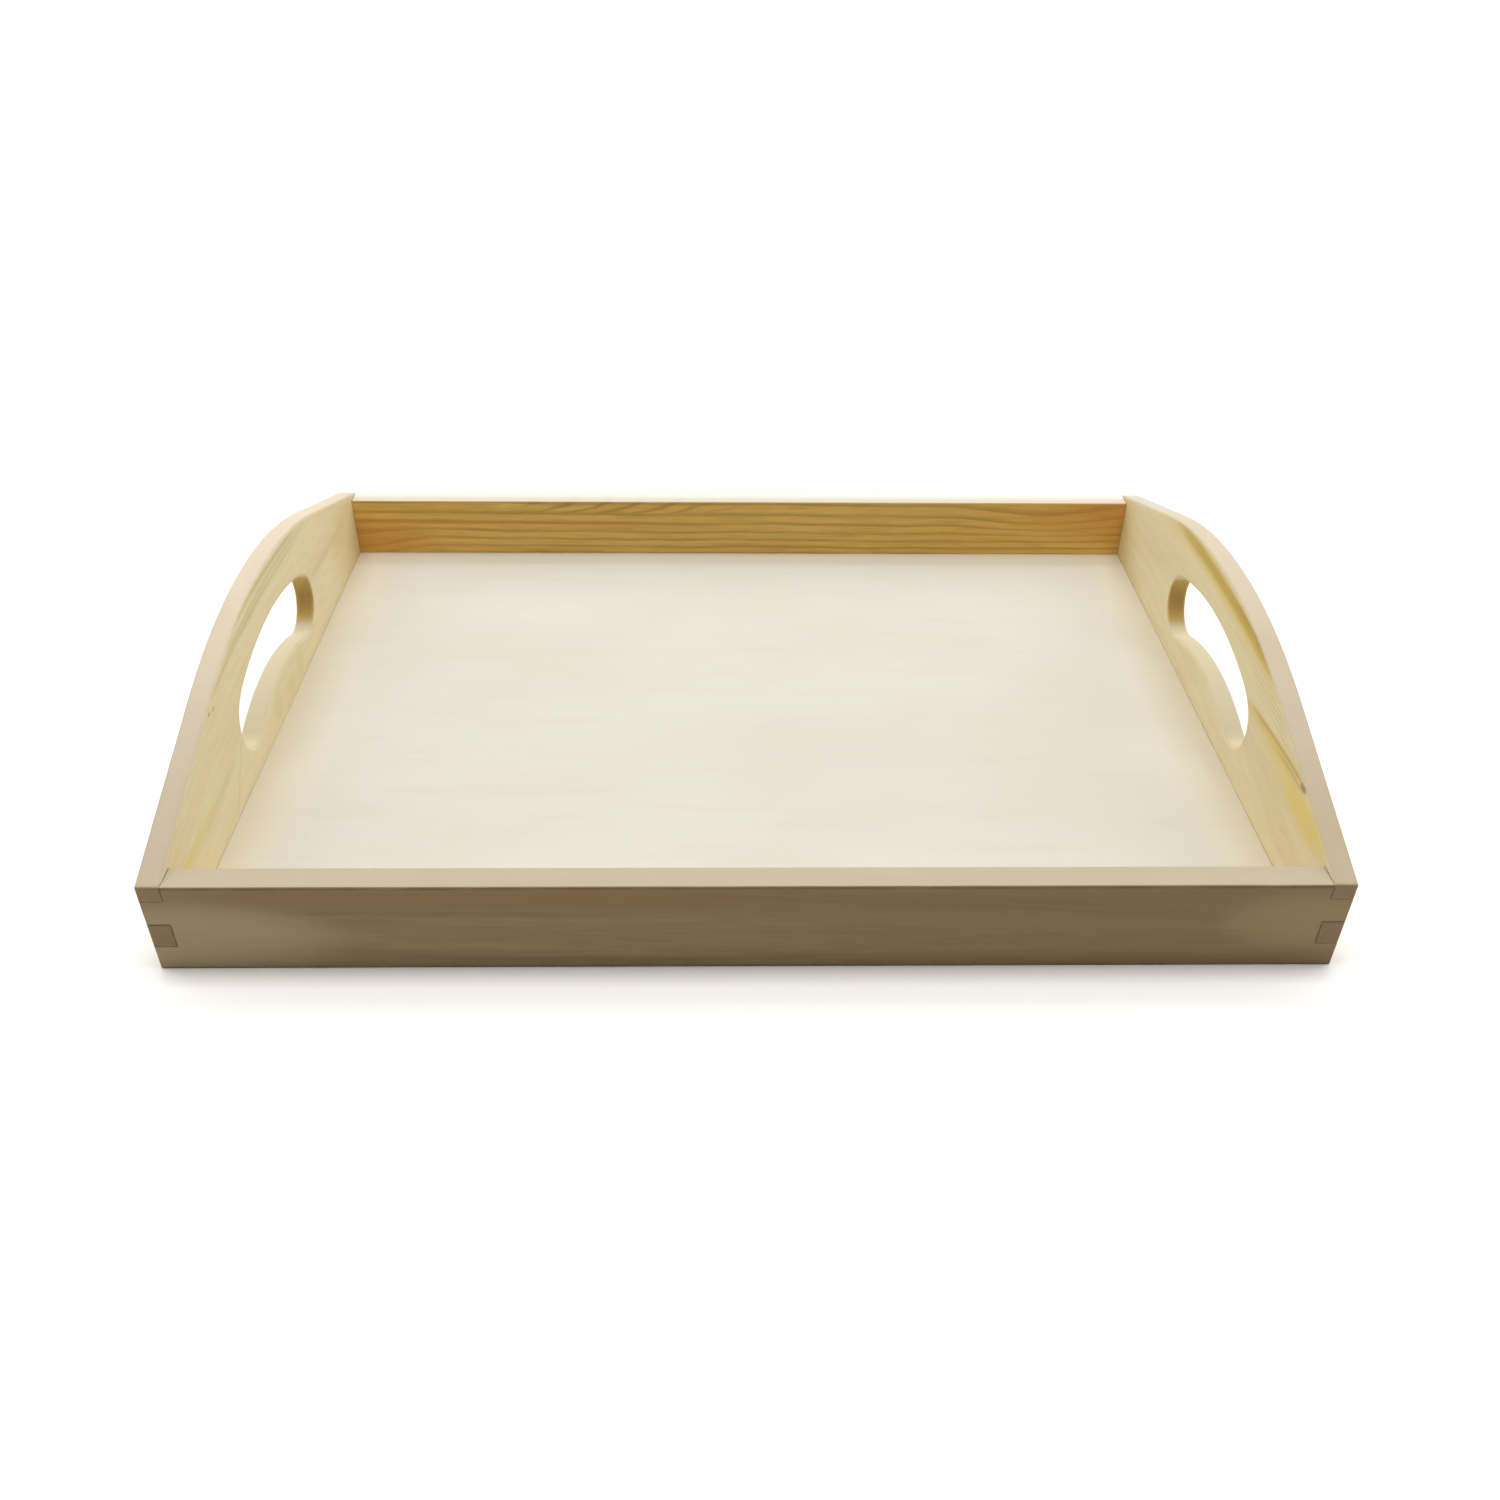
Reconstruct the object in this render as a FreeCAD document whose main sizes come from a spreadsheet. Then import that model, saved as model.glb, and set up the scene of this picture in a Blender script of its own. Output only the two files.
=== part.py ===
import FreeCAD, Part
import Sketcher
import math
import os

# Serving tray: two low rails, two arched end panels with hand holes, and a plywood
# bottom held in a groove all round. The corners are finger joints.
# Frame: millimetres, +Z up, +X along the rails, front at -Y, origin at the centre of the base.

DRIVING_SIZES = {
    # outside of the tray
    "tray_length": 400,
    "tray_width": 300,
    # boards
    "rail_height": 36,
    "rail_thickness": 10,
    "panel_thickness": 8,
    # height of one finger of a corner joint; the lowest finger belongs to the rail
    "finger_pitch": 10,
    # straight shoulder at each end of a panel's arch, below its round top
    "shoulder_run": 73,
    "shoulder_rise": 23.5,
    # plywood bottom and its groove
    "floor_height": 8,
    "ply_thickness": 4,
    "groove_depth": 4,
    "groove_gap": 0.5,
    # bean-shaped hand hole: two round ends, a shoulder over each, a long arc above, a bump below
    "hole_end_radius": 12.8,
    "hole_end_offset": 42.8,
    "hole_end_height": 31.7,
    "hole_shoulder_radius": 29,
    "hole_top_radius": 150,
    "hole_top_height": 52.1,
    "hole_bump_radius": 115,
    # sanded edges
    "edge_round": 0.5,
    "hole_round": 1,
}

# Sizes that several features share, as formulas of the driving ones
ZERO = "0"
HALF_LENGTH = "Sizes.tray_length / 2"
HALF_WIDTH = "Sizes.tray_width / 2"
INNER_HALF_LENGTH = "(Sizes.tray_length / 2 - Sizes.panel_thickness)"
INNER_HALF_WIDTH = "(Sizes.tray_width / 2 - Sizes.rail_thickness)"
FLOOR_UNDERSIDE = "(Sizes.floor_height - Sizes.ply_thickness)"
GROOVE_CUT = "(Sizes.groove_depth + Sizes.groove_gap)"

# Which fingers of a corner are the rail's and which the end panel's, counted from the base up
RAIL_FINGERS = (0, 2)
PANEL_FINGERS = (1, 3)

START, END, CENTRE = 1, 2, 3
ORIGIN_POINT = (-1, START)
UP = FreeCAD.Vector(0, 0, 1)
HALF_TURN = FreeCAD.Rotation(UP, 180)
TOLERANCE = 0.001


def make_sheet(doc):
    """Spreadsheet with one named cell for each driving size."""
    sheet = doc.addObject("Spreadsheet::Sheet", "Sizes")
    for row, (name, value) in enumerate(DRIVING_SIZES.items(), start=1):
        sheet.set("A%d" % row, name)
        sheet.set("B%d" % row, str(value))
        sheet.setAlias("B%d" % row, name)
    doc.recompute()
    return sheet


def minus(formula):
    return "-(%s)" % formula


# Sketches: every end of every edge is held by formulas of the driving sizes

def add_sketch(body, name, role):
    """Empty sketch on the body's own origin plane of that role."""
    plane = [item for item in body.Origin.OriginFeatures if item.Role == role][0]
    sketch = body.newObject("Sketcher::SketchObject", name)
    sketch.AttachmentSupport = [(plane, "")]
    sketch.MapMode = "FlatFace"
    return sketch


def value_of(sketch, formula):
    return float(sketch.evalExpression(formula))


def point_of(sketch, place):
    across, up = place
    return FreeCAD.Vector(value_of(sketch, across), value_of(sketch, up), 0)


def bind(sketch, kind, edges, formula):
    """Adds a dimension that follows a formula."""
    index = sketch.addConstraint(Sketcher.Constraint(kind, *edges, value_of(sketch, formula)))
    name = "size%d" % index
    sketch.renameConstraint(index, name)
    sketch.setExpression("Constraints." + name, formula)


def pin(sketch, edge, spot, place):
    """Holds one point of an edge at a place measured from the sketch's origin."""
    across, up = place
    bind(sketch, "DistanceX", (*ORIGIN_POINT, edge, spot), across)
    bind(sketch, "DistanceY", (*ORIGIN_POINT, edge, spot), up)


def add_arc(sketch, centre, radius, start_angle, end_angle):
    circle = Part.Circle(centre, UP, radius)
    return sketch.addGeometry(Part.ArcOfCircle(circle, start_angle, end_angle))


def add_lines(sketch, places):
    """Line through the places in turn, each corner pinned."""
    points = [point_of(sketch, place) for place in places]
    lines = []
    for start, end in zip(points, points[1:]):
        lines.append(sketch.addGeometry(Part.LineSegment(start, end)))
    for before, after in zip(lines, lines[1:]):
        sketch.addConstraint(Sketcher.Constraint("Coincident", before, END, after, START))
    for line, place in zip(lines, places):
        pin(sketch, line, START, place)
    return lines


def add_rectangle(sketch, low, high):
    """Rectangle between two opposite corners."""
    (left, bottom), (right, top) = low, high
    corners = [(left, bottom), (right, bottom), (right, top), (left, top)]
    lines = add_lines(sketch, corners + corners[:1])
    sketch.addConstraint(Sketcher.Constraint("Coincident", lines[-1], END, lines[0], START))


# Features

def pad(body, sketch, thickness):
    feature = body.newObject("PartDesign::Pad", body.Name + "_blank")
    feature.Profile = sketch
    feature.setExpression("Length", thickness)
    body.Document.recompute()


def cut(body, name, sketch, depth):
    """Pocket that goes into the board from its inner face."""
    volume_before = body.Shape.Volume
    feature = body.newObject("PartDesign::Pocket", body.Name + "_" + name)
    feature.Profile = sketch
    feature.Reversed = True
    feature.setExpression("Length", depth)
    body.Document.recompute()
    if body.Shape.Volume > volume_before - TOLERANCE:
        raise RuntimeError("%s cuts nothing from %s" % (name, body.Name))


def ease(body, name, is_chosen, radius):
    """Rounds the edges that a sander reaches."""
    base = body.Tip
    numbered = enumerate(base.Shape.Edges, start=1)
    edge_names = ["Edge%d" % number for number, edge in numbered if is_chosen(edge)]
    feature = body.newObject("PartDesign::Fillet", body.Name + "_" + name)
    feature.Base = (base, edge_names)
    feature.setExpression("Radius", radius)
    body.Document.recompute()


def lies_at(edge, axis, *levels):
    """Whether the whole edge lies at one of the levels along an axis."""
    box = edge.BoundBox
    low, high = getattr(box, axis + "Min"), getattr(box, axis + "Max")
    return any(abs(low - level) < TOLERANCE and abs(high - level) < TOLERANCE for level in levels)


def cut_finger_slots(body, role, slots, board_end, slot_depth, board_thickness):
    """Square slots at both ends of a board, where the other board's fingers go."""
    sketch = add_sketch(body, body.Name + "_slot_lines", role)
    for slot in slots:
        bottom = "Sizes.finger_pitch * %d" % slot
        top = "Sizes.finger_pitch * %d" % (slot + 1)
        shoulder = "%s - %s" % (board_end, slot_depth)
        add_rectangle(sketch, (shoulder, bottom), (board_end, top))
        add_rectangle(sketch, (minus(board_end), bottom), (minus(shoulder), top))
    cut(body, "slots", sketch, board_thickness)


def cut_groove(body, role, inner_half):
    """Groove for the plywood's edge, stopped just past its corners."""
    sketch = add_sketch(body, body.Name + "_groove_lines", role)
    reach = "%s + %s" % (inner_half, GROOVE_CUT)
    add_rectangle(sketch, (minus(reach), FLOOR_UNDERSIDE), (reach, "Sizes.floor_height"))
    cut(body, "groove", sketch, GROOVE_CUT)


# The boards. Each is drawn with its inner face on an origin plane, then moved into place.

def make_rail(doc, name):
    """Low board; its inner face is at Y = 0 and its outer face towards -Y."""
    body = doc.addObject("PartDesign::Body", name)
    outline = add_sketch(body, name + "_outline", "XZ_Plane")
    add_rectangle(outline, (minus(HALF_LENGTH), ZERO), (HALF_LENGTH, "Sizes.rail_height"))
    pad(body, outline, "Sizes.rail_thickness")
    cut_finger_slots(
        body, "XZ_Plane", PANEL_FINGERS, HALF_LENGTH, "Sizes.panel_thickness", "Sizes.rail_thickness"
    )
    cut_groove(body, "XZ_Plane", INNER_HALF_LENGTH)

    sizes = doc.Sizes
    half_length = sizes.tray_length / 2

    def is_outer(edge):
        """On two of the tray's outer faces at once, or along the rail's inner top edge."""
        at_end = lies_at(edge, "X", -half_length, half_length)
        at_face = lies_at(edge, "Y", -sizes.rail_thickness)
        at_base = lies_at(edge, "Z", 0)
        at_top = lies_at(edge, "Z", sizes.rail_height)
        along_inner_top = at_top and lies_at(edge, "Y", 0)
        return at_end + at_face + at_base + at_top >= 2 or along_inner_top

    ease(body, "eased_edges", is_outer, "Sizes.edge_round")
    return body


def draw_arched_outline(sketch):
    """End panel from the side: square below the rails' top, shoulders and a round top above."""
    shoulder_in = "(%s - Sizes.shoulder_run)" % HALF_WIDTH
    shoulder_top = "(Sizes.rail_height + Sizes.shoulder_rise)"
    lines = add_lines(sketch, [
        (minus(shoulder_in), shoulder_top),
        (minus(HALF_WIDTH), "Sizes.rail_height"),
        (minus(HALF_WIDTH), ZERO),
        (HALF_WIDTH, ZERO),
        (HALF_WIDTH, "Sizes.rail_height"),
        (shoulder_in, shoulder_top),
    ])
    # The round top is tangent to both shoulders
    half_span = value_of(sketch, shoulder_in)
    slope = math.atan(value_of(sketch, "Sizes.shoulder_rise / Sizes.shoulder_run"))
    radius = half_span / math.sin(slope)
    centre = FreeCAD.Vector(0, value_of(sketch, shoulder_top) - radius * math.cos(slope), 0)
    top = add_arc(sketch, centre, radius, math.pi / 2 - slope, math.pi / 2 + slope)
    sketch.addConstraint(Sketcher.Constraint("Tangent", lines[-1], END, top, START))
    sketch.addConstraint(Sketcher.Constraint("Coincident", top, END, lines[0], START))
    pin(sketch, top, START, (shoulder_in, shoulder_top))


def draw_hand_hole(sketch):
    """Bean of six tangent arcs: each side a round end and a shoulder, a long arc above, a bump below."""
    radius = value_of(sketch, "Sizes.hole_end_radius")
    offset = value_of(sketch, "Sizes.hole_end_offset")
    height = value_of(sketch, "Sizes.hole_end_height")
    shoulder_radius = value_of(sketch, "Sizes.hole_shoulder_radius")
    top_radius = value_of(sketch, "Sizes.hole_top_radius")
    top_centre_height = value_of(sketch, "Sizes.hole_top_height") - top_radius
    bump_radius = value_of(sketch, "Sizes.hole_bump_radius")
    quarter, half = math.pi / 2, math.pi

    # The shoulder touches the long arc and the round end from inside, so its centre lies at
    # known distances from both of their centres
    rise = height - top_centre_height
    reach = math.hypot(offset, rise)
    from_top = top_radius - shoulder_radius
    from_end = shoulder_radius - radius
    corner = math.acos((reach ** 2 + from_top ** 2 - from_end ** 2) / (2 * reach * from_top))
    top_angle = math.atan2(rise, offset) + corner
    shoulder_offset = from_top * math.cos(top_angle)
    shoulder_height = top_centre_height + from_top * math.sin(top_angle)
    end_angle = math.atan2(height - shoulder_height, offset - shoulder_offset)

    # The bump touches both round ends from outside
    bump_drop = math.sqrt((bump_radius + radius) ** 2 - offset ** 2)
    bump_lean = math.atan2(offset, bump_drop)

    def arc_about(across, up, arc_radius, start_angle, stop_angle):
        return add_arc(sketch, FreeCAD.Vector(across, up, 0), arc_radius, start_angle, stop_angle)

    back_end = arc_about(offset, height, radius, -quarter - bump_lean, end_angle)
    back_shoulder = arc_about(shoulder_offset, shoulder_height, shoulder_radius, end_angle, top_angle)
    top = arc_about(0, top_centre_height, top_radius, top_angle, half - top_angle)
    front_shoulder = arc_about(
        -shoulder_offset, shoulder_height, shoulder_radius, half - top_angle, half - end_angle
    )
    front_end = arc_about(-offset, height, radius, half - end_angle, half + quarter + bump_lean)
    bump = arc_about(0, height - bump_drop, bump_radius, quarter - bump_lean, quarter + bump_lean)

    around = [back_end, back_shoulder, top, front_shoulder, front_end]
    for before, after in zip(around, around[1:]):
        sketch.addConstraint(Sketcher.Constraint("Tangent", before, END, after, START))
    sketch.addConstraint(Sketcher.Constraint("Tangent", front_end, END, bump, END))
    sketch.addConstraint(Sketcher.Constraint("Tangent", bump, START, back_end, START))
    pin(sketch, front_end, CENTRE, ("-Sizes.hole_end_offset", "Sizes.hole_end_height"))
    pin(sketch, back_end, CENTRE, ("Sizes.hole_end_offset", "Sizes.hole_end_height"))
    pin(sketch, top, CENTRE, (ZERO, "Sizes.hole_top_height - Sizes.hole_top_radius"))
    bind(sketch, "Radius", (front_end,), "Sizes.hole_end_radius")
    bind(sketch, "Radius", (back_end,), "Sizes.hole_end_radius")
    bind(sketch, "Radius", (front_shoulder,), "Sizes.hole_shoulder_radius")
    bind(sketch, "Radius", (back_shoulder,), "Sizes.hole_shoulder_radius")
    bind(sketch, "Radius", (top,), "Sizes.hole_top_radius")
    bind(sketch, "Radius", (bump,), "Sizes.hole_bump_radius")


def make_end_panel(doc, name):
    """Arched board; its inner face is at X = 0 and its outer face towards +X."""
    body = doc.addObject("PartDesign::Body", name)
    outline = add_sketch(body, name + "_outline", "YZ_Plane")
    draw_arched_outline(outline)
    pad(body, outline, "Sizes.panel_thickness")
    cut_finger_slots(
        body, "YZ_Plane", RAIL_FINGERS, HALF_WIDTH, "Sizes.rail_thickness", "Sizes.panel_thickness"
    )
    cut_groove(body, "YZ_Plane", INNER_HALF_WIDTH)
    hole = add_sketch(body, name + "_hand_hole_lines", "YZ_Plane")
    draw_hand_hole(hole)
    cut(body, "hand_hole", hole, "Sizes.panel_thickness")

    sizes = doc.Sizes
    half_width = sizes.tray_width / 2
    hole_reach = sizes.hole_end_offset + sizes.hole_end_radius

    def is_hole_rim(edge):
        """On either face, inside the hand hole's box."""
        box = edge.BoundBox
        in_hole = max(-box.YMin, box.YMax) < hole_reach + TOLERANCE and box.ZMin > sizes.floor_height
        return in_hole and lies_at(edge, "X", 0, sizes.panel_thickness)

    def is_outer(edge):
        """Along the arch on either face, or on two of the tray's other outer faces at once."""
        box = edge.BoundBox
        above_rails = box.ZMin > sizes.rail_height - TOLERANCE
        reaches_far = max(-box.YMin, box.YMax) > hole_reach + TOLERANCE
        along_arch = above_rails and reaches_far and lies_at(edge, "X", 0, sizes.panel_thickness)
        at_end = lies_at(edge, "Y", -half_width, half_width)
        at_face = lies_at(edge, "X", sizes.panel_thickness)
        at_base = lies_at(edge, "Z", 0)
        at_top = lies_at(edge, "Z", sizes.rail_height)
        return along_arch or at_end + at_face + at_base + at_top >= 2

    ease(body, "eased_hole", is_hole_rim, "Sizes.hole_round")
    ease(body, "eased_edges", is_outer, "Sizes.edge_round")
    return body


def make_bottom_panel(doc, name):
    """Plywood sheet, a groove's depth larger each way than the space between the boards."""
    body = doc.addObject("PartDesign::Body", name)
    outline = add_sketch(body, name + "_outline", "XY_Plane")
    across = "%s + Sizes.groove_depth" % INNER_HALF_LENGTH
    along = "%s + Sizes.groove_depth" % INNER_HALF_WIDTH
    add_rectangle(outline, (minus(across), minus(along)), (across, along))
    pad(body, outline, "Sizes.ply_thickness")
    body.setExpression(".Placement.Base.z", FLOOR_UNDERSIDE)
    return body


def check(doc, bodies):
    """Stops before anything is written if a feature or a board's solid is unsound."""
    for item in doc.Objects:
        if "Invalid" in item.State or "Error" in item.State:
            raise RuntimeError("%s is in state %s" % (item.Name, item.State))
        if item.isDerivedFrom("Sketcher::SketchObject") and not item.FullyConstrained:
            raise RuntimeError("%s is not fully held" % item.Name)
    for body in bodies:
        shape = body.Shape
        if shape.isNull() or not shape.isValid() or len(shape.Solids) != 1:
            raise RuntimeError("%s is not one valid solid" % body.Label)


def main():
    doc = FreeCAD.newDocument("serving_tray")
    make_sheet(doc)

    front_rail = make_rail(doc, "front_rail")
    front_rail.setExpression(".Placement.Base.y", minus(INNER_HALF_WIDTH))
    back_rail = make_rail(doc, "back_rail")
    back_rail.Placement.Rotation = HALF_TURN
    back_rail.setExpression(".Placement.Base.y", INNER_HALF_WIDTH)

    right_end_panel = make_end_panel(doc, "right_end_panel")
    right_end_panel.setExpression(".Placement.Base.x", INNER_HALF_LENGTH)
    left_end_panel = make_end_panel(doc, "left_end_panel")
    left_end_panel.Placement.Rotation = HALF_TURN
    left_end_panel.setExpression(".Placement.Base.x", minus(INNER_HALF_LENGTH))

    bottom_panel = make_bottom_panel(doc, "bottom_panel")

    doc.recompute()
    bodies = [front_rail, back_rail, left_end_panel, right_end_panel, bottom_panel]
    check(doc, bodies)

    os.makedirs("parts", exist_ok=True)
    for body in bodies:
        body.Shape.exportStep("parts/%s.step" % body.Label)
        box = body.Shape.optimalBoundingBox(False, False)
        print(
            "%s: volume %.0f, X %.1f to %.1f, Y %.1f to %.1f, Z %.1f to %.1f"
            % (body.Label, body.Shape.Volume, box.XMin, box.XMax, box.YMin, box.YMax, box.ZMin, box.ZMax)
        )


main()
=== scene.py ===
import math

import bpy
from mathutils import Matrix, Vector


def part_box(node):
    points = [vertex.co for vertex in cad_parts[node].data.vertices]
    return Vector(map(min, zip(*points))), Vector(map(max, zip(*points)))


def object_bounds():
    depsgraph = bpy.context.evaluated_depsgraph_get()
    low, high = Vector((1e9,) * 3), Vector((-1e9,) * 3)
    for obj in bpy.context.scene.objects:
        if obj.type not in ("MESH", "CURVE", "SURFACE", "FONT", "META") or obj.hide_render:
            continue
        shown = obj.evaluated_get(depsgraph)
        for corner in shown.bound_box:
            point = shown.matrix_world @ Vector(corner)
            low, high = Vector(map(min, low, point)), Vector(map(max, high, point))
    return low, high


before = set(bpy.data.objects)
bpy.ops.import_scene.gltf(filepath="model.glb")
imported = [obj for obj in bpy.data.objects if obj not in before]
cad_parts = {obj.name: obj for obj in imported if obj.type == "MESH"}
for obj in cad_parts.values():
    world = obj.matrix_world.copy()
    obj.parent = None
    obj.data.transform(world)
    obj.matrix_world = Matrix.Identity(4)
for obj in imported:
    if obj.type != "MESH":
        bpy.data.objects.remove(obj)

CAD_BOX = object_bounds()
MM = 0.001

# Where the camera stands, in metres and degrees, in the tray's own frame.
CAMERA_PLACE = (-0.0097, -0.4865, 0.3280)
CAMERA_HEADING = 1.475
CAMERA_PITCH = 37.385
CAMERA_ROLL = 0.835
CAMERA_SENSOR = 36.0
CAMERA_LENS = 32.72
CAMERA_SHIFT_Y = 0.0347

# The corner joints, in millimetres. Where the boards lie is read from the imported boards.
RAIL_LOW, RAIL_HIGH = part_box("back_rail")
PANEL_INNER_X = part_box("right_end_panel")[0].x / MM
RAIL_INNER_Y = RAIL_LOW.y / MM
RAIL_TOP_Z = RAIL_HIGH.z / MM
FINGER_PITCH = 10.0
SEAM_HALF_WIDTH = 0.16
SEAM_SWELL = 0.3
GLUE_TONE = (0.10, 0.066, 0.032)

# Where the boards' top edges change tone, in millimetres along Y, and where end grain is past the hand holes.
FRONT_EDGES = (-60.0, -135.0)
BACK_EDGES = (60.0, 140.0)
# Beyond these, the back rail's and the end panels' top edges carry a painted highlight.
FAR_EDGES = (142.5, 148.0)
PAST_HAND_HOLE = (100.0, 140.0)

# Tones that several boards share.
# End grain is darker wood, and its tone also carries painted shade, as dark as the front face where the
# fingers show.
END_GRAIN = (0.263, 0.174, 0.096)
HOLE_END_GRAIN = (0.52, 0.335, 0.085)
HOLE_LEDGE = (0.49, 0.43, 0.285)
SANDED_EDGE = (0.377, 0.318, 0.219)
BACK_RAIL_TOP = (0.453, 0.436, 0.364)

# The floor, in metres, and how far from the tray its glow starts and is full, in millimetres.
FLOOR_SIZE = 24.0
GLOW_STARTS = 600.0
GLOW_FULL = 1800.0
GLOW_STRENGTH = 0.9


class Term:
    """A value inside a shader tree that takes part in ordinary arithmetic."""

    def __init__(self, graph, socket):
        self.graph = graph
        self.socket = socket

    def __add__(self, other):
        return self.graph.math("ADD", self, other)

    def __radd__(self, other):
        return self.graph.math("ADD", other, self)

    def __sub__(self, other):
        return self.graph.math("SUBTRACT", self, other)

    def __rsub__(self, other):
        return self.graph.math("SUBTRACT", other, self)

    def __mul__(self, other):
        return self.graph.math("MULTIPLY", self, other)

    def __truediv__(self, other):
        return self.graph.math("DIVIDE", self, other)

    def __abs__(self):
        return self.graph.math("ABSOLUTE", self)

    def squared(self):
        return self * self

    def fraction(self):
        return self.graph.math("FRACT", self)


class Graph:
    """Adds nodes to one shader tree. Values are Terms, numbers or tuples."""

    def __init__(self, tree):
        self.tree = tree
        self.tree.nodes.clear()

    def add(self, kind, **settings):
        node = self.tree.nodes.new(kind)
        for name, value in settings.items():
            setattr(node, name, value)
        return node

    def feed(self, socket, value):
        if isinstance(value, Term):
            self.tree.links.new(value.socket, socket)
        elif socket.type == "RGBA" and len(value) == 3:
            socket.default_value = (*value, 1.0)
        else:
            socket.default_value = value

    def math(self, operation, *values):
        node = self.add("ShaderNodeMath", operation=operation)
        for socket, value in zip(node.inputs, values):
            self.feed(socket, value)
        return Term(self, node.outputs[0])

    def vector(self, x, y, z):
        node = self.add("ShaderNodeCombineXYZ")
        for socket, value in zip(node.inputs, (x, y, z)):
            self.feed(socket, value)
        return Term(self, node.outputs[0])

    def split(self, output):
        node = self.add("ShaderNodeSeparateXYZ")
        self.tree.links.new(output, node.inputs[0])
        return [Term(self, socket) for socket in node.outputs]

    def smooth(self, value, low, high):
        """0 below low and 1 above high, or the other way round where low is the larger."""
        node = self.add("ShaderNodeMapRange", interpolation_type="SMOOTHSTEP")
        for name, given in (("Value", value), ("From Min", low), ("From Max", high)):
            self.feed(node.inputs[name], given)
        return Term(self, node.outputs[0])

    def blend(self, factor, first, second):
        """The first colour where the factor is 0, the second where it is 1."""
        node = self.add("ShaderNodeMix", data_type="RGBA")
        sockets = [socket for socket in node.inputs if socket.enabled]
        for socket, value in zip(sockets, (factor, first, second)):
            self.feed(socket, value)
        return Term(self, [socket for socket in node.outputs if socket.enabled][0])

    def noise(self, vector, detail=2.0, roughness=0.5):
        """Smooth noise about 0.5, whose grains are one unit of the vector wide."""
        node = self.add("ShaderNodeTexNoise")
        self.feed(node.inputs["Vector"], vector)
        self.feed(node.inputs["Scale"], 1.0)
        self.feed(node.inputs["Detail"], detail)
        self.feed(node.inputs["Roughness"], roughness)
        return Term(self, node.outputs["Fac"])

    def position(self):
        """Place on the object in millimetres."""
        coordinates = self.add("ShaderNodeTexCoord")
        return [part * (1 / MM) for part in self.split(coordinates.outputs["Object"])]

    def direction(self, edge_radius):
        """The surface's direction, turning smoothly over an edge as if it were rounded."""
        bevel = self.add("ShaderNodeBevel", samples=6)
        bevel.inputs["Radius"].default_value = edge_radius * MM
        return Term(self, bevel.outputs[0])


def new_material(name):
    material = bpy.data.materials.new(name)
    material.use_nodes = True
    return material, Graph(material.node_tree)


def finish_material(graph, colour, roughness, height, specular, direction=None):
    """The shader, with the height in millimetres as its bump."""
    bump = graph.add("ShaderNodeBump")
    bump.inputs["Distance"].default_value = MM
    if direction is not None:
        graph.feed(bump.inputs["Normal"], direction)
    graph.feed(bump.inputs["Height"], height)
    shader = graph.add("ShaderNodeBsdfPrincipled")
    graph.feed(shader.inputs["Base Color"], colour)
    graph.feed(shader.inputs["Roughness"], roughness)
    shader.inputs["Specular IOR Level"].default_value = specular
    graph.tree.links.new(bump.outputs[0], shader.inputs["Normal"])
    output = graph.add("ShaderNodeOutputMaterial")
    graph.tree.links.new(shader.outputs[0], output.inputs["Surface"])
    return shader


def near(graph, value, target, half_width):
    """1 where a value is at the target, 0 past the half width."""
    return graph.smooth(abs(value - target), half_width, 0.0)


def seams(graph, x, y, z):
    """Thin uneven glue lines round the fingers of the corner joints."""
    side = abs(x)
    depth = abs(y)
    swell = graph.noise(graph.vector(x / 3.0, y / 3.0, z / 3.0))
    width = SEAM_HALF_WIDTH + graph.smooth(swell, 0.4, 0.8) * SEAM_SWELL
    zone = (z / (2 * FINGER_PITCH)).fraction()
    panel_zone = graph.math("GREATER_THAN", zone, 0.5)
    past_panel = graph.math("GREATER_THAN", side, PANEL_INNER_X)
    past_rail = graph.math("GREATER_THAN", depth, RAIL_INNER_Y)
    beside_panel = near(graph, side, PANEL_INNER_X, width) * panel_zone * past_rail
    beside_rail = near(graph, depth, RAIL_INNER_Y, width) * (1.0 - panel_zone) * past_panel
    level = abs((z / FINGER_PITCH + 0.5).fraction() - 0.5) * FINGER_PITCH
    below_top = graph.math("LESS_THAN", z, RAIL_TOP_Z - 1.0)
    between = graph.smooth(level, width, 0.0) * past_panel * past_rail * below_top
    lines = graph.math("MAXIMUM", graph.math("MAXIMUM", beside_panel, beside_rail), between)
    return lines * graph.math("LESS_THAN", z, RAIL_TOP_Z + 0.2)


def growth_rings(graph, along, across, depth, wood):
    """0 in the soft early wood, rising to 1 in the hard late wood at the end of each year's ring."""
    seed = wood["seed"]
    drift = graph.noise(graph.vector(along / 90.0, across / 22.0 + seed, depth / 22.0)) - 0.5
    wave = graph.noise(graph.vector(along / 26.0, across / 9.0, depth / 9.0 + seed)) - 0.5
    bow = (along - wood["bow_centre"]).squared() * wood["bow"]
    height = across - wood["pith_across"] + bow + along * wood["slope"]
    height = height + drift * wood["drift"] + wave * wood["wave"]
    for start, end, foot, head, lift in wood["sweeps"]:
        height = height + graph.smooth(along, start, end) * graph.smooth(across, foot, head) * lift
    radius = graph.math("SQRT", height.squared() + (depth - wood["pith_depth"]).squared())
    year = (radius / wood["ring"]).fraction()
    return graph.smooth(year, wood["late_starts"], 0.88) * graph.smooth(year, 1.0, 0.93)


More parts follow.
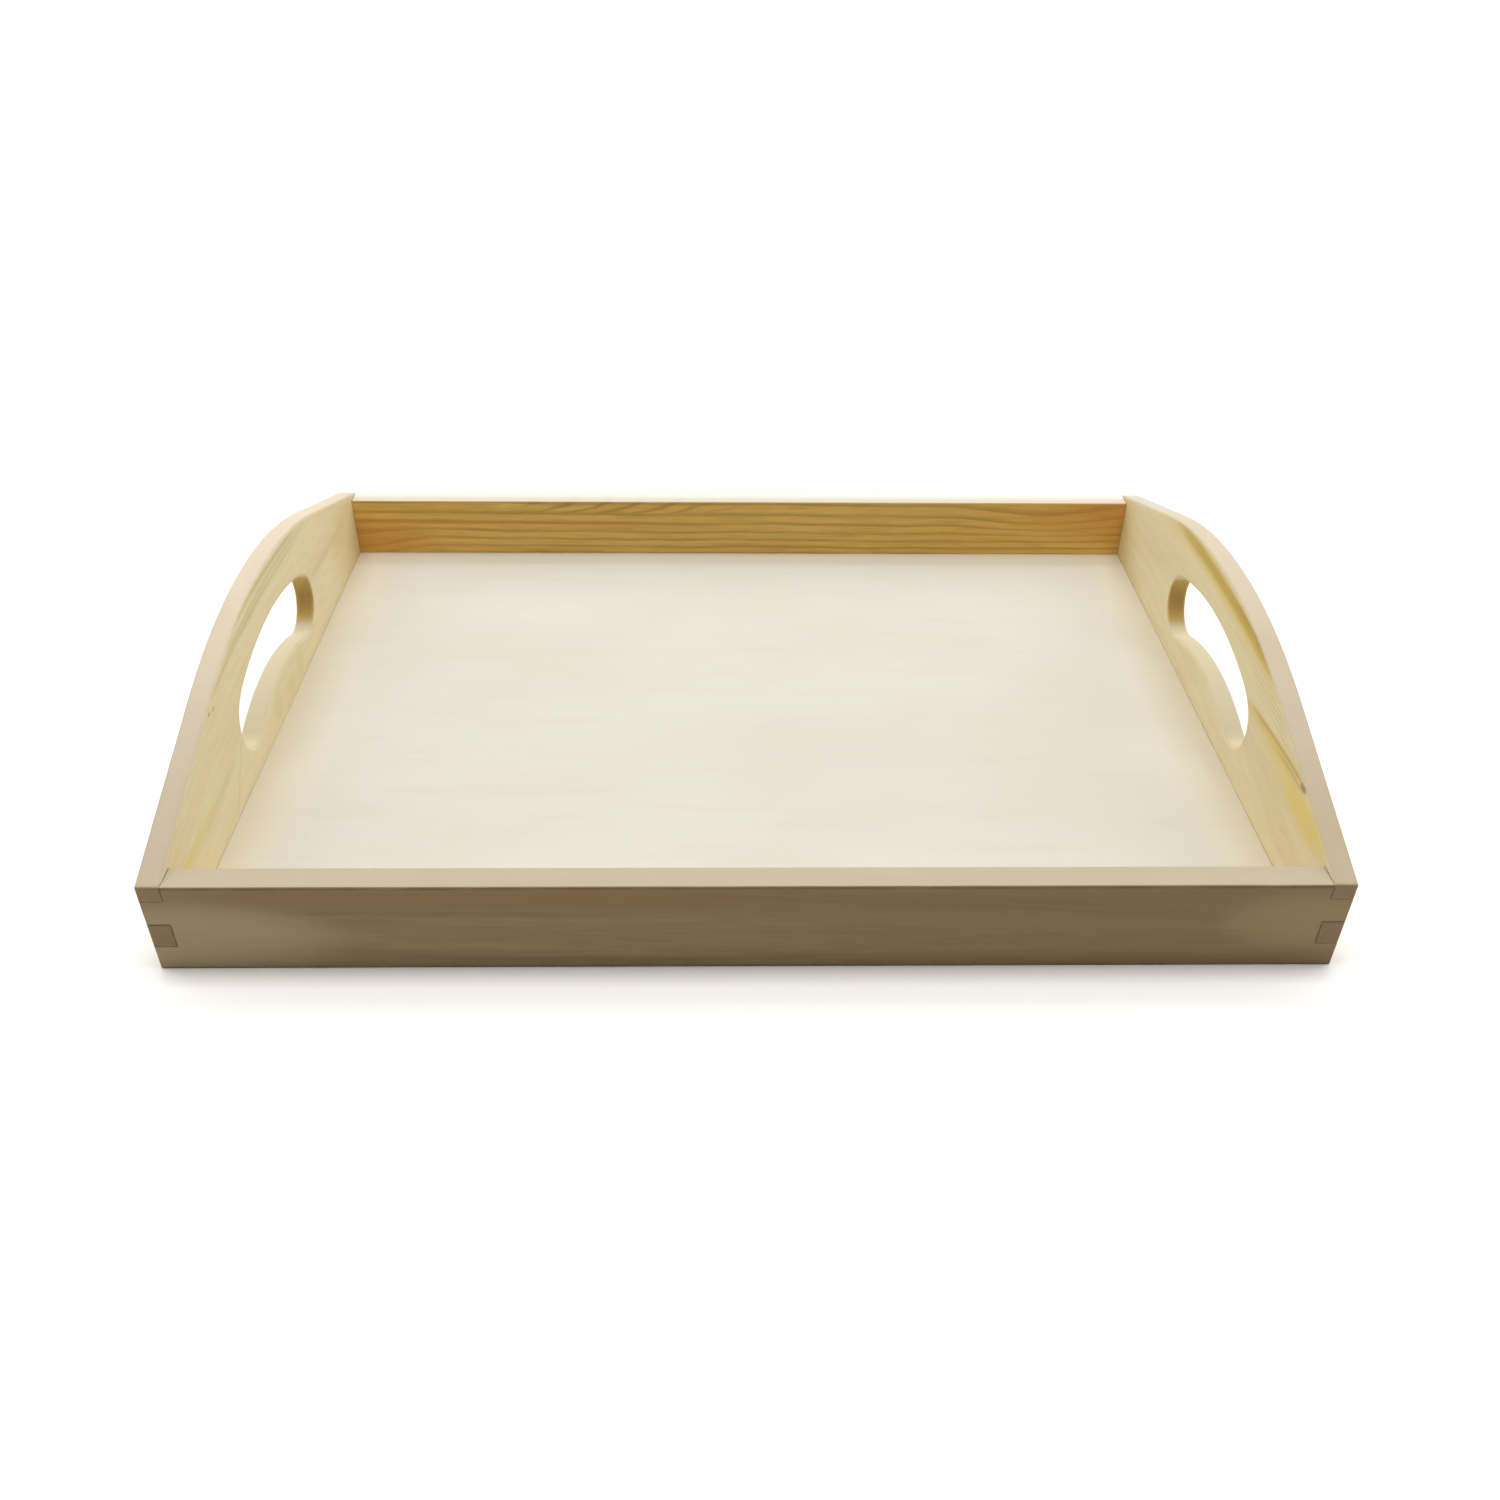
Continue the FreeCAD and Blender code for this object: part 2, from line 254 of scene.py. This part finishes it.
def wood_patterns(graph, wood, along, across, depth):
    """What makes up the figure of a board, each pattern from 0 to 1 and stretched along the grain."""
    seed = wood["seed"]
    rings = growth_rings(graph, along, across, depth, wood)
    patchy = graph.noise(graph.vector(along / 48.0, across / 7.0, depth / 7.0 + seed * 2.0), 1.0)
    clouds = graph.noise(graph.vector(along / 70.0, across / 18.0 + seed, depth / 30.0))
    mottle = graph.noise(graph.vector(along / 38.0, across / 6.5 + seed, depth / 20.0), 2.0, 0.6)
    streaks = graph.noise(graph.vector(along / 24.0, across / 1.5 + seed, depth / 1.5), 2.0, 0.55)
    fibre = graph.noise(graph.vector(along / 12.0, across / 0.5 + seed, depth / 0.5), 3.0, 0.6)
    flecks = graph.noise(graph.vector(along / 3.2, across / 0.35, depth / 0.35 + seed), 1.0)
    pores = graph.noise(graph.vector(along, across / 0.5, depth / 0.5), 2.0, 0.7)
    return {
        "rings": rings * (1.0 - graph.smooth(patchy, 0.42, 0.66) * wood["patchiness"]),
        "clouds": clouds,
        "mottle": mottle,
        "streaks": streaks,
        "fibre": fibre,
        "flecks": graph.smooth(flecks, 0.66, 0.78),
        "pores": pores,
    }


def sawn_face(graph, wood, patterns):
    """The colour of a face sawn along the grain."""
    mottle = graph.smooth(patterns["mottle"], 0.4, 0.72) * wood["mottle"]
    streaks = graph.smooth(patterns["streaks"], 0.4, 0.75) * wood["streaks"]
    fibre = graph.smooth(patterns["fibre"], 0.25, 0.75) * 0.2
    colour = graph.blend(graph.smooth(patterns["clouds"], 0.3, 0.7), wood["early"], wood["tint"])
    colour = graph.blend(mottle, colour, wood["ruddy"])
    for share in (patterns["rings"] * wood["contrast"], streaks, fibre, patterns["flecks"] * 0.22):
        colour = graph.blend(share, colour, wood["late"])
    return colour


def top_edge(graph, wood, y):
    """The colour of a board's top edge, which changes from front to back, with a painted highlight along its
    far end.
    """
    tone = graph.blend(graph.smooth(y, *FRONT_EDGES), wood["edge"], wood["edge_front"])
    tone = graph.blend(graph.smooth(y, *BACK_EDGES), tone, wood["edge_back"])
    return graph.blend(graph.smooth(y, *FAR_EDGES), tone, wood["edge_far"])


def pine(name, wood):
    """Bare sanded pine, sawn along the tree."""
    material, graph = new_material(name)
    x, y, z = graph.position()
    direction = graph.direction(wood["edge_radius"])
    normal_x, normal_y, normal_z = graph.split(direction.socket)
    if wood["grain"] == "X":
        along, depth, end_facing, face_facing = x, y, normal_x, normal_y
    else:
        along, depth, end_facing, face_facing = y, x, normal_y, normal_x
    patterns = wood_patterns(graph, wood, along, z, depth)

    # What faces up is a board's top edge from about the rails' height, and a hand hole's ledge lower down.
    upward = graph.smooth(normal_z, 0.15, 0.8)
    edge_high = graph.smooth(z, RAIL_TOP_Z - 6.0, RAIL_TOP_Z - 2.0)
    end_grain = graph.smooth(abs(end_facing) - edge_high * 0.15, 0.25, 0.7)
    arris = near(graph, abs(face_facing), 0.6, 0.4) * (1.0 - end_grain)

    colour = wood["marks"](graph, sawn_face(graph, wood, patterns), along, z)
    # Painted light and shade: a rail's faces that look backwards get their own tone, paler than the front
    # rail's painted shade and darker than the back rail's painted light.
    if wood["grain"] == "X":
        colour = graph.blend(graph.smooth(normal_y, 0.3, 0.7) * 0.6, colour, wood["behind"])
    colour = graph.blend(upward * edge_high * 0.92, colour, top_edge(graph, wood, y))
    colour = graph.blend(upward * (1.0 - edge_high) * 0.85, colour, wood["ledge"])
    # Darker rounded edges: wear on the panels and the back rail, and a painted shadow line along the front
    # rail's top edge.
    arris_wear_and_shade = arris * graph.smooth(patterns["streaks"], 0.1, 0.6) * wood["arris"]
    colour = graph.blend(arris_wear_and_shade, colour, wood["arris_tone"])
    end_tone = graph.blend(graph.smooth(abs(y), *PAST_HAND_HOLE), wood["hole_end"], wood["end"])
    colour = graph.blend(end_grain * (0.7 + patterns["pores"] * 0.5), colour, end_tone)
    glue = seams(graph, x, y, z)
    glue_shade = graph.noise(graph.vector(x / 5.0, y / 5.0, z / 5.0)) * (1.3 - upward * 1.1)
    colour = graph.blend(glue * glue_shade, colour, GLUE_TONE)

    roughness = 0.68 - patterns["rings"] * 0.10 + patterns["fibre"] * 0.08 + end_grain * 0.1 - arris * 0.08
    height = patterns["rings"] * 0.012 + patterns["fibre"] * 0.035 - patterns["flecks"] * 0.02
    height = height + patterns["pores"] * end_grain * 0.03 - glue * 0.05
    finish_material(graph, colour, roughness, height, specular=0.3, direction=direction)
    return material


def streak(graph, colour, along, z, start, end, bulge, width, tone, strength):
    """A bowed streak from one place to another, each given as its place along the board and z."""
    share = (along - start[0]) / (end[0] - start[0])
    middle = share * (end[1] - start[1]) + share * (1.0 - share) * (4.0 * bulge) + start[1]
    off = (z - middle) / width
    body = graph.smooth(off, 1.0, 0.35) * graph.smooth(off, -1.0, 0.1)
    ends = graph.smooth(share, 0.0, 0.2) * graph.smooth(share, 1.0, 0.65)
    threads = graph.noise(graph.vector(along / 30.0, off * 2.2, 0.0), 2.0, 0.6)
    return graph.blend(ends * body * (0.7 + threads * 0.6) * strength, colour, tone)


def spot(graph, colour, along, z, centre, size, tone, strength):
    """A round or oval patch with a soft rim."""
    distance = ((along - centre[0]) / size[0]).squared() + ((z - centre[1]) / size[1]).squared()
    return graph.blend(graph.smooth(distance, 1.0, 0.1) * strength, colour, tone)


def right_panel_marks(graph, colour, y, z):
    """Resin streaks, the pin knot that the lower one starts at, yellow patches, and a warm patch of painted
    bounce light and shade from the back rail in the back lower corner.
    """
    resin = (0.44, 0.30, 0.045)
    pale_resin = (0.60, 0.46, 0.13)
    gold = (0.69, 0.53, 0.14)
    thread = (0.46, 0.36, 0.12)
    red = (0.45, 0.24, 0.12)
    warm = (0.55, 0.38, 0.09)
    knot = (0.25, 0.12, 0.07)
    colour = spot(graph, colour, y, z, (-119.0, 38.5), (24.0, 8.0), gold, 0.55)
    colour = streak(graph, colour, y, z, (-140.0, 35.0), (-58.0, 43.5), 1.0, 8.0, gold, 0.5)
    # Painted bounce light and shade from the back rail in the back lower corner.
    colour = spot(graph, colour, y, z, (152.0, 22.0), (44.0, 30.0), warm, 0.4)
    colour = streak(graph, colour, y, z, (-82.0, 60.5), (88.0, 60.0), 4.8, 6.8, pale_resin, 0.85)
    colour = streak(graph, colour, y, z, (-80.0, 62.0), (84.0, 60.5), 4.8, 4.0, resin, 0.8)
    colour = streak(graph, colour, y, z, (-72.0, 64.5), (20.0, 66.0), 2.6, 1.1, red, 0.5)
    colour = streak(graph, colour, y, z, (-30.0, 68.0), (78.0, 62.0), 1.5, 1.1, thread, 0.5)
    for level in (49.5, 51.5, 53.5, 55.5, 57.5):
        colour = streak(graph, colour, y, z, (-95.0, level), (-36.0, level + 2.0), 0.8, 0.8, thread, 0.28)
    colour = streak(graph, colour, y, z, (-118.0, 46.0), (-42.0, 41.0), 1.2, 4.6, pale_resin, 0.7)
    colour = streak(graph, colour, y, z, (-116.0, 47.4), (-46.0, 43.0), 1.2, 1.2, red, 0.6)
    colour = streak(graph, colour, y, z, (-114.0, 44.8), (-80.0, 43.6), 0.8, 1.0, red, 0.45)
    return spot(graph, colour, y, z, (-111.0, 46.6), (3.6, 1.7), knot, 0.7)


def left_panel_marks(graph, colour, y, z):
    """Soft grain lines that follow the arch, a yellow-green stain, a warm back corner of painted bounce light
    and shade from the back rail, two bruises.
    """
    thread = (0.45, 0.375, 0.16)
    bruise = (0.30, 0.17, 0.09)
    stain = (0.62, 0.54, 0.19)
    green = (0.55, 0.52, 0.22)
    warm = (0.62, 0.45, 0.17)
    for start, end, bulge in (
        ((-80.0, 65.5), (72.0, 60.0), 6.5),
        ((-70.0, 61.0), (80.0, 57.0), 6.8),
        ((-46.0, 61.5), (66.0, 58.0), 3.4),
        ((-20.0, 69.5), (60.0, 64.5), 1.0),
        ((-80.0, 58.5), (6.0, 64.5), 1.5),
    ):
        colour = streak(graph, colour, y, z, start, end, bulge, 1.7, thread, 0.4)
    for start, end, strength in (
        ((50.0, 37.5), (132.0, 32.5), 0.26),
        ((-112.0, 23.0), (-60.0, 29.0), 0.26),
        ((-80.0, 7.0), (-54.0, 34.0), 0.16),
    ):
        colour = streak(graph, colour, y, z, start, end, 0.4, 3.2, thread, strength)
    colour = streak(graph, colour, y, z, (-138.0, 25.0), (-84.0, 28.4), 0.0, 3.4, stain, 0.5)
    colour = spot(graph, colour, y, z, (-122.0, 26.0), (15.0, 3.6), stain, 0.4)
    for centre in ((-14.0, 17.0), (6.0, 14.0), (22.0, 17.0)):
        colour = spot(graph, colour, y, z, centre, (7.0, 7.0), green, 0.35)
    # Painted bounce light and shade from the back rail in the back lower corner.
    colour = spot(graph, colour, y, z, (150.0, 26.0), (70.0, 26.0), warm, 0.4)
    colour = spot(graph, colour, y, z, (-79.5, 56.2), (1.8, 0.9), bruise, 0.5)
    return spot(graph, colour, y, z, (-75.0, 55.6), (2.0, 0.8), bruise, 0.45)


def front_rail_marks(graph, colour, x, z):
    """Paler ends, a ruddy band along the top, long faint dark streaks that sink to the right, and a painted
    shadow line just under the top edge.
    """
    ruddy = (0.265, 0.163, 0.072)
    dark = (0.225, 0.15, 0.066)
    pale = (0.46, 0.37, 0.215)
    yellow = (0.41, 0.33, 0.16)
    olive = (0.35, 0.28, 0.11)
    painted_edge_shadow = (0.14, 0.08, 0.03)
    to_right = graph.smooth(x, -100.0, 150.0)
    colour = graph.blend(graph.smooth(z, 15.0, 30.0) * 0.4 + to_right * 0.3, colour, dark)
    colour = spot(graph, colour, x, z, (-188.0, 13.0), (60.0, 20.0), pale, 0.6)
    colour = spot(graph, colour, x, z, (186.0, 20.0), (34.0, 16.0), yellow, 0.4)
    colour = streak(graph, colour, x, z, (-212.0, 31.0), (68.0, 29.0), 0.0, 6.0, ruddy, 0.6)
    colour = streak(graph, colour, x, z, (-130.0, 9.0), (-50.0, 9.5), 0.4, 2.4, olive, 0.6)
    for start, end in (
        ((-40.0, 34.0), (95.0, 24.5)),
        ((-10.0, 35.0), (165.0, 20.0)),
        ((40.0, 33.0), (150.0, 25.0)),
        ((-170.0, 25.0), (-20.0, 23.0)),
        ((-120.0, 4.0), (30.0, 3.0)),
    ):
        colour = streak(graph, colour, x, z, start, end, 0.0, 1.8, dark, 0.5)
    # A painted shadow line along the top of the front face, just under the top edge.
    uneven = graph.noise(graph.vector(x / 22.0, 0.0, 0.0), 2.0)
    top_line = graph.smooth(z, RAIL_TOP_Z - 1.6, RAIL_TOP_Z - 0.7) * graph.smooth(uneven, 0.25, 0.6)
    return graph.blend(top_line * 0.7, colour, painted_edge_shadow)


def back_rail_marks(graph, colour, x, z):
    """Strokes that peel off upwards in the left half, one ruddy line, and ruddy end corners."""
    ruddy = (0.70, 0.30, 0.065)
    dark = (0.44, 0.26, 0.055)
    rise = graph.math("SQRT", graph.math("MAXIMUM", z - 29.0, 0.0) * 146.0)
    sway = graph.noise(graph.vector(x / 20.0, z / 6.0, 0.0))
    stroke = ((x - rise + sway * 14.0) / 17.0).fraction()
    strokes = graph.smooth(stroke, 0.3, 0.62) * graph.smooth(stroke, 0.9, 0.66)
    window = graph.smooth(z, 29.0, 31.0) * graph.smooth(x, -112.0, -92.0) * graph.smooth(x, 10.0, -40.0)
    colour = graph.blend(strokes * window * 0.6, colour, dark)
    colour = spot(graph, colour, x, z, (-186.0, 14.0), (44.0, 13.0), ruddy, 0.5)
    colour = spot(graph, colour, x, z, (188.0, 27.0), (60.0, 15.0), ruddy, 0.45)
    return streak(graph, colour, x, z, (-210.0, 24.6), (0.0, 24.4), 0.0, 1.3, ruddy, 0.75)


def plywood(name):
    """Pale sanded plywood, its face veneer's grain along the rails."""
    material, graph = new_material(name)
    x, y, z = graph.position()
    figure = graph.noise(graph.vector(x / 60.0, y / 7.0, z / 7.0), 3.0, 0.55)
    clouds = graph.noise(graph.vector(x / 90.0, y / 60.0, z / 60.0), 2.0)
    fibre = graph.noise(graph.vector(x / 9.0, y / 0.5, z / 0.5), 3.0, 0.6)
    dashes = graph.smooth(graph.noise(graph.vector(x / 2.6, y / 0.3, z / 0.3), 1.0), 0.68, 0.80)

    pale = (0.489, 0.463, 0.409)
    warm = (0.447, 0.409, 0.333)
    shaded = (0.50, 0.43, 0.295)
    panel_glow = (0.58, 0.515, 0.375)
    rail_glow = (0.64, 0.55, 0.36)
    dash = (0.335, 0.265, 0.17)
    colour = graph.blend(graph.smooth(clouds, 0.35, 0.7) * 0.35, pale, warm)
    colour = graph.blend(graph.smooth(figure, 0.45, 0.75) * 0.3, colour, warm)
    colour = graph.blend(graph.smooth(fibre, 0.3, 0.8) * 0.16, colour, warm)
    # Painted shade and painted bounce light: warmer and a little darker beside the end panels, lighter right
    # against them, and more orange against the back rail.
    beside_panels = graph.smooth(abs(x), PANEL_INNER_X - 34.0, PANEL_INNER_X)
    colour = graph.blend(beside_panels * 0.45, colour, shaded)
    against_panels = graph.smooth(abs(x), PANEL_INNER_X - 20.0, PANEL_INNER_X - 2.0)
    colour = graph.blend(against_panels * 0.45, colour, panel_glow)
    against_back_rail = graph.smooth(y, RAIL_INNER_Y - 20.0, RAIL_INNER_Y - 1.0)
    colour = graph.blend(against_back_rail * 0.3, colour, rail_glow)
    colour = graph.blend(dashes * 0.18, colour, dash)

    roughness = 0.62 + fibre * 0.12
    height = fibre * 0.02 - dashes * 0.012 + figure * 0.01
    finish_material(graph, colour, roughness, height, specular=0.3)
    return material


# Painted shade: the front rail's wood tones are painted dark for the shade on its front face. Its faces that
# look backwards get the paler behind tone, and its arris tone is a painted shadow line under its top edge.
FRONT_RAIL = {
    "grain": "X", "seed": 3.0, "ring": 6.5, "late_starts": 0.2, "slope": 0.02,
    "bow": 0.0, "bow_centre": 0.0, "pith_across": -45.0, "pith_depth": -60.0,
    "drift": 14.0, "wave": 1.5, "sweeps": (), "marks": front_rail_marks,
    "contrast": 0.3, "patchiness": 0.7, "mottle": 0.5, "streaks": 0.32,
    "edge_radius": 0.5, "arris": 0.85, "arris_tone": (0.12, 0.07, 0.024), "behind": (0.66, 0.55, 0.35),
    "early": (0.34, 0.248, 0.136), "tint": (0.328, 0.252, 0.13), "ruddy": (0.328, 0.209, 0.105),
    "late": (0.225, 0.14, 0.05), "edge": SANDED_EDGE, "edge_front": SANDED_EDGE,
    "edge_back": SANDED_EDGE, "edge_far": SANDED_EDGE,
    "end": END_GRAIN, "hole_end": END_GRAIN, "ledge": SANDED_EDGE,
}
# Painted light: the back rail's wood tones are painted brighter and more orange for light on its shaded inner
# face. Its faces that look backwards, which the lamps behind light, get the darker behind tone, and its
# edge_far tone is a painted highlight along the outer half of its top.
BACK_RAIL = {
    "grain": "X", "seed": 11.0, "ring": 2.9, "late_starts": 0.45, "slope": 0.004,
    "bow": 0.0, "bow_centre": 0.0, "pith_across": 55.0, "pith_depth": 102.0,
    "drift": 3.5, "wave": 1.2, "marks": back_rail_marks,
    "sweeps": (
        (100.0, 150.0, 14.0, 30.0, 4.5),
        (152.0, 195.0, 14.0, 30.0, -4.5),
        (-150.0, -192.0, 24.0, 12.0, 5.0),
    ),
    "contrast": 0.7, "patchiness": 0.4, "mottle": 0.5, "streaks": 0.35,
    "edge_radius": 0.5, "arris": 0.4, "arris_tone": (0.50, 0.30, 0.066), "behind": (0.26, 0.19, 0.075),
    "early": (0.95, 0.655, 0.185), "tint": (0.92, 0.60, 0.15), "ruddy": (0.86, 0.50, 0.13),
    "late": (0.50, 0.30, 0.066), "edge": BACK_RAIL_TOP, "edge_front": BACK_RAIL_TOP,
    "edge_back": BACK_RAIL_TOP, "edge_far": (0.57, 0.56, 0.52),
    "end": END_GRAIN, "hole_end": END_GRAIN, "ledge": SANDED_EDGE,
}
LEFT_PANEL = {
    "grain": "Y", "seed": 23.0, "ring": 5.2, "late_starts": 0.35, "slope": 0.02,
    "bow": 0.0014, "bow_centre": -10.0, "pith_across": -60.0, "pith_depth": -230.0,
    "drift": 10.0, "wave": 1.6, "sweeps": (), "marks": left_panel_marks,
    "contrast": 0.15, "patchiness": 0.95, "mottle": 0.4, "streaks": 0.14,
    "edge_radius": 1.6, "arris": 0.1, "arris_tone": (0.51, 0.41, 0.20),
    "early": (0.743, 0.65, 0.43), "tint": (0.71, 0.60, 0.365), "ruddy": (0.70, 0.575, 0.35),
    "late": (0.51, 0.41, 0.20), "edge": (0.451, 0.384, 0.286), "edge_front": (0.385, 0.315, 0.228),
    "edge_back": (0.435, 0.37, 0.275), "edge_far": (0.46, 0.41, 0.33),
    "end": END_GRAIN, "hole_end": HOLE_END_GRAIN, "ledge": HOLE_LEDGE,
}
RIGHT_PANEL = {
    "grain": "Y", "seed": 37.0, "ring": 6.2, "late_starts": 0.35, "slope": -0.03,
    "bow": 0.0006, "bow_centre": 30.0, "pith_across": 150.0, "pith_depth": 260.0,
    "drift": 10.0, "wave": 1.4, "sweeps": (), "marks": right_panel_marks,
    "contrast": 0.14, "patchiness": 0.95, "mottle": 0.4, "streaks": 0.14,
    "edge_radius": 1.6, "arris": 0.1, "arris_tone": (0.50, 0.39, 0.185),
    "early": (0.72, 0.63, 0.405), "tint": (0.68, 0.575, 0.345), "ruddy": (0.665, 0.545, 0.315),
    "late": (0.50, 0.39, 0.185), "edge": (0.412, 0.349, 0.262), "edge_front": (0.372, 0.292, 0.198),
    "edge_back": (0.393, 0.363, 0.312), "edge_far": (0.46, 0.43, 0.37),
    "end": END_GRAIN, "hole_end": HOLE_END_GRAIN, "ledge": HOLE_LEDGE,
}


def dress(node, material):
    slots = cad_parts[node].data.materials
    for index in range(len(slots)):
        slots[index] = material


def dress_tray():
    dress("front_rail", pine("front_rail_pine_wood", FRONT_RAIL))
    dress("back_rail", pine("back_rail_pine_wood", BACK_RAIL))
    dress("left_end_panel", pine("left_panel_pine_wood", LEFT_PANEL))
    dress("right_end_panel", pine("right_panel_pine_wood", RIGHT_PANEL))
    dress("bottom_panel", plywood("bottom_plywood_wood"))


def add_floor():
    """The plain pale surface that the tray stands on. Far from the tray it glows, like a lit studio sweep."""
    bpy.ops.mesh.primitive_plane_add(size=FLOOR_SIZE, location=(0.0, 0.0, CAD_BOX[0][2]))
    floor = bpy.context.object
    floor.name = "floor"
    material, graph = new_material("pale_floor")
    x, y, z = graph.position()
    clouds = graph.noise(graph.vector(x / 400.0, y / 400.0, z / 400.0), 1.0)
    colour = graph.blend(clouds, (0.85, 0.83, 0.80), (0.87, 0.85, 0.82))
    shader = finish_material(graph, colour, 0.9 + clouds * 0.02, clouds * 0.01, specular=0.1)
    away = graph.math("SQRT", x.squared() + y.squared())
    shader.inputs["Emission Color"].default_value = (1.0, 0.98, 0.95, 1.0)
    graph.feed(shader.inputs["Emission Strength"], graph.smooth(away, GLOW_STARTS, GLOW_FULL) * GLOW_STRENGTH)
    floor.data.materials.append(material)


def add_area_light(name, place, width, depth, power):
    """A soft box aimed at the tray."""
    light = bpy.data.lights.new(name, "AREA")
    light.shape = "RECTANGLE"
    light.size = width
    light.size_y = depth
    light.energy = power
    lamp = bpy.data.objects.new(name, light)
    lamp.location = place
    lamp.rotation_euler = (-Vector(place)).to_track_quat("-Z", "Y").to_euler()
    bpy.context.scene.collection.objects.link(lamp)
    return lamp


def add_lights():
    """Soft boxes above, behind and at both sides, so that what faces the front is in shade."""
    add_area_light("key", (0.0, 1.0, 2.0), 1.6, 0.35, 12.0)
    add_area_light("overhead", (0.0, 0.0, 2.2), 1.8, 0.9, 43.0)
    for side in (-1.0, 1.0):
        add_area_light("side", (1.6 * side, 0.8, 1.2), 3.0, 2.2, 38.0)
    far = add_area_light("far_floor", (0.0, 3.2, 2.0), 3.0, 1.5, 24.0)
    far.rotation_euler = (0.0, 0.0, 0.0)


def add_backdrop():
    """A pale surround beyond the floor, which is seen but gives no diffuse light."""
    world = bpy.data.worlds.new("studio")
    bpy.context.scene.world = world
    world.use_nodes = True
    background = world.node_tree.nodes["Background"]
    background.inputs["Color"].default_value = (0.80, 0.78, 0.75, 1.0)
    world.cycles_visibility.diffuse = False


def add_camera():
    camera = bpy.data.cameras.new("camera")
    camera.sensor_width = CAMERA_SENSOR
    camera.lens = CAMERA_LENS
    camera.shift_y = CAMERA_SHIFT_Y
    camera.clip_start = 0.01
    body = bpy.data.objects.new("camera", camera)
    heading = Matrix.Rotation(math.radians(-CAMERA_HEADING), 4, "Z")
    tilt = Matrix.Rotation(math.radians(90.0 - CAMERA_PITCH), 4, "X")
    roll = Matrix.Rotation(math.radians(CAMERA_ROLL), 4, "Z")
    body.matrix_world = Matrix.Translation(CAMERA_PLACE) @ heading @ tilt @ roll
    bpy.context.scene.collection.objects.link(body)
    bpy.context.scene.camera = body


bpy.context.scene.view_settings.view_transform = "Standard"
dress_tray()
add_floor()
add_lights()
add_backdrop()
add_camera()
